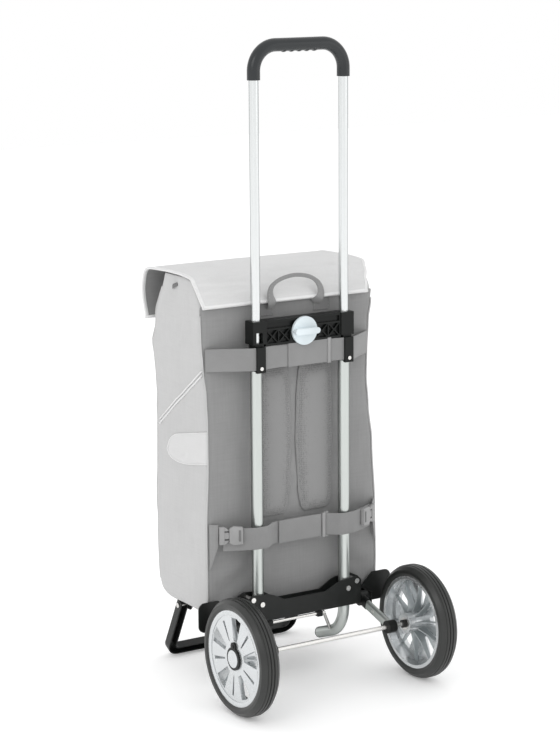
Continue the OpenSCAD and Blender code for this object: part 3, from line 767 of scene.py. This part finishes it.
profile = range(len(lid_line))
outward = [lid_out(i) for i in profile]
for name, t in (("lid_binding_left", 0.992), ("lid_binding_right", 0.008)):
    line = [lid_point(i, t) for i in profile]
    lid_edge(name, line, Vector((1, 0, 0)), outward)
for name, i, up in (("lid_hem_back", profile[0], (0, 0.66, -0.75)),
                    ("lid_hem_front", profile[-1], (0, 0, 1))):
    line = [lid_point(i, k / 40) for k in range(41)]
    lid_edge(name, line, Vector(up), [outward[i]] * len(line))

# small webbing loop on the left side, under the cover
side_route = [(side_x(1, y, z) + off, y, z)
              for y, z, off in ((-104, 702, 0.8), (-110, 699, 4.5), (-120, 695, 0.8))]
side_section = strap_section(thickness=1.2, width=6)
side_loop = sweep("side_loop", curve_points(side_route, 2), side_section, dark_thread_and_slot_shade)
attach(side_loop, "frame")

# ---------------------------------------------------------------- carrying loop

# Y by height: sewn to the back, over the cover's hem, then clear of the lowered grip
LOOP_Y = [(662, -21.5), (667, -14), (671, -12), (678, -12.4), (692, -16), (720, -16)]
LOOP_HALF = [(43, 662), (48, 671), (51, 683), (46, 697), (29, 708), (0, 713)]
LOOP_R, LOOP_FLAT = 2.4, 1.5


def loop_scale(t):
    """The loop widens and thins towards its feet."""
    foot = max(0.0, 1 - 3.6 * min(t, 1 - t)) ** 1.1
    return 1 + 1.9 * foot, 1 - 0.25 * foot


loop_outline = LOOP_HALF + [(-x, z) for x, z in LOOP_HALF[-2::-1]]
loop_path = curve_points([(x, table_at(LOOP_Y, z), z) for x, z in loop_outline], 3)
carry_loop = sweep("carry_loop", loop_path, ring_section(LOOP_R, 16, LOOP_FLAT), mid_webbing,
                   side=Vector((0, 1, 0)), scale=loop_scale)
subdivide(carry_loop)
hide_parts("carry_handle")
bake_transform(carry_loop)
for label, sign in (("inner", -1), ("outer", 1)):
    line = []
    for i in range(4, len(loop_path) - 4, 3):
        ahead = (loop_path[i + 1] - loop_path[i - 1]).normalized()
        half = LOOP_R * LOOP_FLAT * loop_scale(i / (len(loop_path) - 1))[0]
        line.append(loop_path[i] + sign * 0.55 * half * Vector((ahead.z, 0, -ahead.x)))
    seam = stitches("carry_seam_" + label, line, thread, body=None, lift=(0, 2.1, 0))
    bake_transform(seam)

# patches under the loop's feet
PATCH_LOW, PATCH_HIGH, PATCH_RAISE, PATCH_STEPS, SEAM_INSET = 646, 668, 1.9, 12, 2.2


def foot_patch(name, left, right):
    """A sewn patch on the back panel with a dashed seam inside its border."""
    def on_back(x, z):
        return x, back_y(x, z) + PATCH_RAISE, z

    n = PATCH_STEPS
    points = [
        on_back(left + (right - left) * c / n, PATCH_LOW + (PATCH_HIGH - PATCH_LOW) * r / n)
        for r in range(n + 1) for c in range(n + 1)
    ]
    piece = make(name, points, grid_faces(n + 1, n + 1), mid_webbing)
    face_towards(piece, (0, 1, 0))
    thicken(piece, PATCH_CLOTH)
    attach(piece, "frame")
    x0, x1 = left + SEAM_INSET, right - SEAM_INSET
    z0, z1 = PATCH_LOW + SEAM_INSET, PATCH_HIGH - SEAM_INSET
    corners = [(x0, z0), (x1, z0), (x1, z1), (x0, z1), (x0, z0)]
    for k, (a, b) in enumerate(zip(corners, corners[1:])):
        run = [on_back(a[0] + (b[0] - a[0]) * u / 4, a[1] + (b[1] - a[1]) * u / 4)
               for u in range(5)]
        stitches(f"{name}_seam_{k}", run, thread)


foot_patch("foot_patch_right", -76, -42)
foot_patch("foot_patch_left", 38, 72)

# ---------------------------------------------------------------- straps


def band_piece(name, route, z, height, thickness=1.8, wobble=0.5):
    """Webbing through (x, y) places at height z, wavering up and down by wobble."""
    path = curve_points([(x, y, z) for x, y in route], 5)
    path = [p + Vector((0, 0, wobble * ripple(p.x, 0, z, 60, 3))) for p in path]
    piece = sweep(name, path, strap_section(thickness, height), mid_webbing)
    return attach(piece, "frame")


def mirrored(half, *right_end):
    """A strap's route; right_end replaces its last stretch beside the right-hand tube."""
    back = [(-x, y) for x, y in reversed(half)]
    return half + (back[: -len(right_end)] + list(right_end) if right_end else back)


UPPER_Z, LOWER_Z, STRAP_H = 582.2, 272.2, 38.5
upper_half = [(174, -23.6), (140, -6.4), (101, 12.9), (88.5, 13.3), (76, 12.9), (50, 8.7),
              (20, 8.5)]
upper_route = mirrored(upper_half, (-130, -7.0), (-153, -23.4))
upper_band = band_piece("upper_band", upper_route, UPPER_Z, STRAP_H)
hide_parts("upper_strap")
band_piece("upper_layer", [(31, 10.3), (0, 10.2), (-48, 10.4)], UPPER_Z, STRAP_H + 2, 1.4)

lower_half = [(150, -10.9), (125, 1.6), (101, 12.9), (88.5, 13.4), (76, 12.9), (53, -3.6),
              (20, -5.2)]
lower_band = band_piece("lower_band", mirrored(lower_half), LOWER_Z, STRAP_H)
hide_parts("lower_strap")
band_piece("lower_layer", [(44, -2.4), (20, -3.5), (-20, -3.5), (-44, -2.4)],
           LOWER_Z, STRAP_H + 1.5, 1.4)
for name, x, z, y in (("upper_keeper", -52, UPPER_Z, 10.6), ("lower_keeper", -48, LOWER_Z, -1.0)):
    keeper = band_piece(name, [(x + 3.6, y), (x, y + 0.3), (x - 3.6, y)], z, STRAP_H + 5, 2.0, 0)
    keeper.data.materials[0] = buckle_plastic

# seams from beside the tubes down the sloping stretches
SEAM_START, SEAM_MARGIN, SLOPE_START, SLOPE_Y, SLOPE_FALL = 104, 3.5, 101, 12.3, 0.5
for sign, label in ((1, "left"), (-1, "right")):
    for tag, z, stop in (("upper", UPPER_Z, 168 if sign > 0 else 128), ("lower", LOWER_Z, 122)):
        xs = [SEAM_START + (stop - SEAM_START) * k / 6 for k in range(7)]
        for level, d in (("low", SEAM_MARGIN - STRAP_H / 2), ("high", STRAP_H / 2 - SEAM_MARGIN)):
            slope = [(sign * x, SLOPE_Y - (x - SLOPE_START) * SLOPE_FALL, z + d) for x in xs]
            stitches(f"{tag}_{label}_seam_{level}", slope, dark_thread_and_slot_shade, lift=(0, 0.2, 0))

# ---------------------------------------------------------------- buckles and wings

nodes["strap_ladder"].data.materials.clear()
nodes["strap_ladder"].data.materials.append(buckle_plastic)
SLOPE = math.radians(26.5)
BUCKLE_X, BUCKLE_Y, BUCKLE_HEIGHT_SHARE = 139, -4.0, 0.82


def blocks(name, outlines, sign, material, origin):
    """Extruded outlines (points, near, far) on the sloping stretch of the lower strap."""
    verts, faces = [], []
    for outline, near, far in outlines:
        faces += prism_faces(len(verts), len(outline))
        for depth in (near, far):
            for u, v in outline:
                x = origin[0] + u * math.cos(SLOPE) + depth * math.sin(SLOPE)
                y = origin[1] - u * math.sin(SLOPE) + depth * math.cos(SLOPE)
                verts.append((sign * x, y, origin[2] + BUCKLE_HEIGHT_SHARE * v))
    piece = make(name, verts, faces, material, smooth=False)
    ease_edges(piece, 0.6, segments=2)
    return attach(piece, "frame")


socket = [(-20, -18), (-4, -20), (3, -15), (3, 15), (-4, 20), (-20, 18)]
window = [(-17, -12), (-13, -12), (-13, 12), (-17, 12)]
tongue = [(3, -7), (12, -7), (12, 7), (3, 7)]
arm_high = [(3, 10), (8, 17), (14, 19), (16, 14), (11, 10)]
arm_low = [(u, -v) for u, v in reversed(arm_high)]
root = [(11, -19), (20, -19), (20, 19), (11, 19)]
buckle_outlines = [(socket, 0.6, 7.2), (root, 0.8, 6.4), (tongue, 1.8, 5.2),
                   (arm_high, 1.4, 5.8), (arm_low, 1.4, 5.8)]
WING_ROWS, WING_COLUMNS = 12, 10
WING_EDGE_Z, WING_EDGE_HIGH, WING_TIP_X, WING_TIP_HIGH = 214, 86, 158.5, 36


def wing_point(sign, u, v, middle_z):
    """Cloth between the bag's back edge (u 0) and the buckle at middle_z (u 1)."""
    edge_z = WING_EDGE_Z + WING_EDGE_HIGH * v
    edge_x = abs(side_x(sign, BACK_Y, edge_z)) - 1.5
    x = edge_x + (WING_TIP_X - edge_x) * u
    z = edge_z + (middle_z - WING_TIP_HIGH / 2 + WING_TIP_HIGH * v - edge_z) * u
    y = -23.6 + 11.2 * u + 1.6 * math.sin(math.pi * u) * math.sin(3.2 * v + 0.6)
    return sign * x, y, z


for sign, label, lift_z in ((1, "left", 9.0), (-1, "right", 4.0)):
    where = (BUCKLE_X, BUCKLE_Y, LOWER_Z + lift_z)
    body = blocks("buckle_body_" + label, buckle_outlines, sign, buckle_plastic, where)
    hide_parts("buckle_" + label)
    # A thin dark sheet on the buckle's face over its window: painted shade of the slot, since the
    # buckle has no opening there.
    blocks("buckle_slot_shade_" + label, [(window, 7.2, 7.9)], sign, dark_thread_and_slot_shade, where)

    points = [
        wing_point(sign, c / (WING_COLUMNS - 1), r / (WING_ROWS - 1), LOWER_Z + lift_z)
        for r in range(WING_ROWS) for c in range(WING_COLUMNS)
    ]
    wing = make("wing_" + label, points, grid_faces(WING_ROWS, WING_COLUMNS), mid_cloth)
    face_towards(wing, (0, 1, 0))
    thicken(wing, WING_CLOTH)
    subdivide(wing)
    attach(wing, "frame")
    if sign > 0:
        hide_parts("strap_tails")

# ---------------------------------------------------------------- padded carrying straps

PAD_IN = [(296, 15), (340, 8), (430, 3.5), (500, 6), (560, 11)]
PAD_OUT = {1: [(296, 68), (320, 72), (430, 73), (530, 72), (560, 69)],
           -1: [(296, 74), (320, 79), (430, 81), (530, 80), (560, 76)]}
PAD_ROWS, PAD_COLUMNS = 54, 14
PAD_LOW, PAD_HIGH, PAD_Y, PAD_CORNER = 296, 560, BACK_Y + 2.2, 14
PAD_EDGE, PAD_SWELL, PAD_SHOULDER = 1.4, 7.0, 22
GROOVE_DEEP, GROOVE_IN, GROOVE_WIDE = 1.3, 8, 2.2


def pad_point(sign, r, c, front):
    """A point on the pad's front or back; its middle swells, with a groove inside its rim."""
    z = PAD_LOW + (PAD_HIGH - PAD_LOW) * r / (PAD_ROWS - 1)
    end = min(z - PAD_LOW, PAD_HIGH - z)
    pull = PAD_CORNER * (1 - math.sqrt(max(0.0, 1 - (1 - min(end / PAD_CORNER, 1.0)) ** 2)))
    a, b = table_at(PAD_IN, z) + 0.5 * pull, table_at(PAD_OUT[sign], z) - 0.5 * pull
    t = c / (PAD_COLUMNS - 1)
    x = a + (b - a) * t
    rim = min(x - a, b - x, end)
    if not front:
        return sign * x, PAD_Y, z
    swell = PAD_EDGE + PAD_SWELL * min(1.0, max(0.0, rim / PAD_SHOULDER)) ** 0.8
    groove = GROOVE_DEEP * math.exp(-(((rim - GROOVE_IN) / GROOVE_WIDE) ** 2))
    return sign * x, PAD_Y + swell - groove + 0.5 * ripple(x, 0, z, 24, sign), z


for sign, label in ((1, "left"), (-1, "right")):
    n = PAD_ROWS * PAD_COLUMNS
    points = [
        pad_point(sign, r, c, front)
        for front in (True, False) for r in range(PAD_ROWS) for c in range(PAD_COLUMNS)
    ]
    faces = grid_faces(PAD_ROWS, PAD_COLUMNS) + grid_faces(PAD_ROWS, PAD_COLUMNS, start=n)
    rim = list(range(PAD_COLUMNS))
    rim += [r * PAD_COLUMNS + PAD_COLUMNS - 1 for r in range(1, PAD_ROWS)]
    rim += [(PAD_ROWS - 1) * PAD_COLUMNS + c for c in range(PAD_COLUMNS - 2, -1, -1)]
    rim += [r * PAD_COLUMNS for r in range(PAD_ROWS - 2, 0, -1)]
    faces += [(a, b, n + b, n + a) for a, b in zip(rim, rim[1:] + rim[:1])]
    pad = make("pad_" + label, points, faces, spacer_mesh)
    held = [(n + k, 1.0) for k in range(n)] + [(k, 1.0) for k in rim]
    settle(pad, pressure=4.0, frames=20, cap=1.6, pinned=held)
    subdivide(pad)
    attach(pad, "frame")
    if sign > 0:
        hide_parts("back_pads")
    for row, inset, rise in (("a", 6.0, 4.0), ("b", 9.5, 5.3)):
        for edge, table, shift in (("inner", PAD_IN, inset), ("outer", PAD_OUT[sign], -inset)):
            line = [(sign * (table_at(table, z) + shift), PAD_Y + rise, z)
                    for z in range(PAD_LOW + 14, PAD_HIGH - 12, 8)]
            stitches(f"pad_{label}_{edge}_seam_{row}", line, thread, lift=(0, 0.5, 0))

# ---------------------------------------------------------------- side details

POCKET_Y, POCKET_Z, POCKET_LONG, POCKET_FALL, POCKET_GAP = -30, 564, 158, 112, 7.0
POCKET_PIPE_R, CORNER_PIPE_R, LABEL_PIPE_R = 1.5, 1.3, 0.9

diagonal = [(POCKET_Y - POCKET_LONG * k / 14, POCKET_Z - POCKET_FALL * k / 14) for k in range(15)]
for label, drop in (("high", 0.0), ("low", -POCKET_GAP)):
    line = [(side_x(1, y, z + drop) + 1.0, y, z + drop) for y, z in diagonal]
    piping("pocket_piping_" + label, line, POCKET_PIPE_R, trim_cloth)
for sign, label in ((1, "left"), (-1, "right")):
    edge = [(sign * (abs(side_x(sign, BACK_Y, z)) + 0.6), BACK_Y - 0.6, z)
            for z in range(158, 668, 10)]
    piping("edge_piping_" + label, edge, CORNER_PIPE_R, light_cloth)

for sign, label in ((1, "left"), (-1, "right")):
    edge = []
    for z in range(162, 700, 12):
        front = table_at(FRONT_Y, z)
        turn = FRONT_R * (1 - math.sqrt(0.5))
        edge.append((side_x(sign, front + FRONT_R, z) - sign * (turn - 0.4), front + turn - 0.4, z))
    piping("front_piping_" + label, edge, CORNER_PIPE_R, light_cloth)


def rounding(t, start, length):
    """How far (0 to 1) a round end has closed in at t, if it begins at start."""
    return 1 - math.sqrt(max(0.0, 1 - max(0.0, (t - start) / length) ** 2))


# side label: square behind, narrowing and rounded towards the front
rows, columns = 22, 18
LABEL_BACK, LABEL_LENGTH, LABEL_HIGH, LABEL_LOW = -28, 130, 458, 403
points, high_rim, low_rim = [], [], []
for c in range(columns):
    t = c / (columns - 1)
    y = LABEL_BACK - LABEL_LENGTH * t
    high = LABEL_HIGH - 26 * t - 26 * rounding(t, 0.66, 0.34)
    low = LABEL_LOW - 22 * t + 27 * rounding(t, 0.38, 0.62)
    middle, half = (high + low) / 2, max((high - low) / 2, 1.0)
    for r in range(rows):
        z = middle + half * (2 * r / (rows - 1) - 1)
        points.append((side_x(1, y, z) + 1.2, y, z))
    for rim, z in ((high_rim, middle + half), (low_rim, middle - half)):
        rim.append((side_x(1, y, z) + 1.3, y, z))
side_label = make("side_label", points, grid_faces(columns, rows), label_cloth)
face_towards(side_label, (1, 0, 0))
thicken(side_label, LABEL_CLOTH)
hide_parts("side_patch")
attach(side_label, "frame")
piping("label_piping", high_rim + low_rim[::-1], LABEL_PIPE_R, trim_cloth)

# ---------------------------------------------------------------- ribs inside the wheels

axle_line = centre_of("axle")
AXLE_Y, AXLE_Z = axle_line.y / MM - TUBE_Y, axle_line.z / MM
DISC_IN, RIB_HALF = 186.0, 0.9
rib_outline = [(18, DISC_IN - 1), (18, DISC_IN - 20), (40, DISC_IN - 12), (74, DISC_IN - 7),
               (74, DISC_IN - 1)]
for sign, label in ((1, "left"), (-1, "right")):
    verts, faces = [], []
    for k in range(5):
        for side in (-1, 1):
            a = math.radians(k * 72 - 5 + side * 17)
            faces += prism_faces(len(verts), len(rib_outline))
            for half in (-RIB_HALF, RIB_HALF):
                for radius, x in rib_outline:
                    y = radius * math.cos(a) - half * math.sin(a)
                    z = radius * math.sin(a) + half * math.cos(a)
                    verts.append((sign * x, AXLE_Y + y, AXLE_Z + z))
    ribs = make("wheel_ribs_" + label, verts, faces, rib_plastic, smooth=False)
    ease_edges(ribs, 0.4)
    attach(ribs, "wheel_" + label)

# ---------------------------------------------------------------- floor, light

FLOOR_HALF, FLOOR_Z, WHITE = 9000, -0.3, (1, 1, 1, 1)
floor_paint = Shader("floor", Base_Color=WHITE, Roughness=1.0, Emission_Color=WHITE,
                     Emission_Strength=0.16).material
square = ((-1, -1), (1, -1), (1, 1), (-1, 1))
corners = [(a * FLOOR_HALF, b * FLOOR_HALF, FLOOR_Z) for a, b in square]
floor = make("floor", corners, [(0, 1, 2, 3)], floor_paint)
floor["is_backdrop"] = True

world = bpy.data.worlds.new("studio")
world.use_nodes = True
world.node_tree.nodes["Background"].inputs["Color"].default_value = WHITE
world.node_tree.nodes["Background"].inputs["Strength"].default_value = 1.0
bpy.context.scene.world = world
bpy.context.scene.view_settings.view_transform = "Standard"


def soft_light(name, at, size, watts):
    light = bpy.data.lights.new(name, "AREA")
    light.shape = "RECTANGLE"
    light.size, light.size_y = size
    light.energy = watts
    lamp = bpy.data.objects.new(name, light)
    lamp.location = at
    aim = Vector((0, 0, 0.5)) - Vector(at)
    lamp.rotation_mode = "QUATERNION"
    lamp.rotation_quaternion = aim.to_track_quat("-Z", "Y")
    bpy.context.scene.collection.objects.link(lamp)


soft_light("key", at=(3.0, 1.6, 2.6), size=(1.6, 1.6), watts=16)
soft_light("fill", at=(-2.4, 2.8, 1.6), size=(1.6, 2.0), watts=6)

low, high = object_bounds()
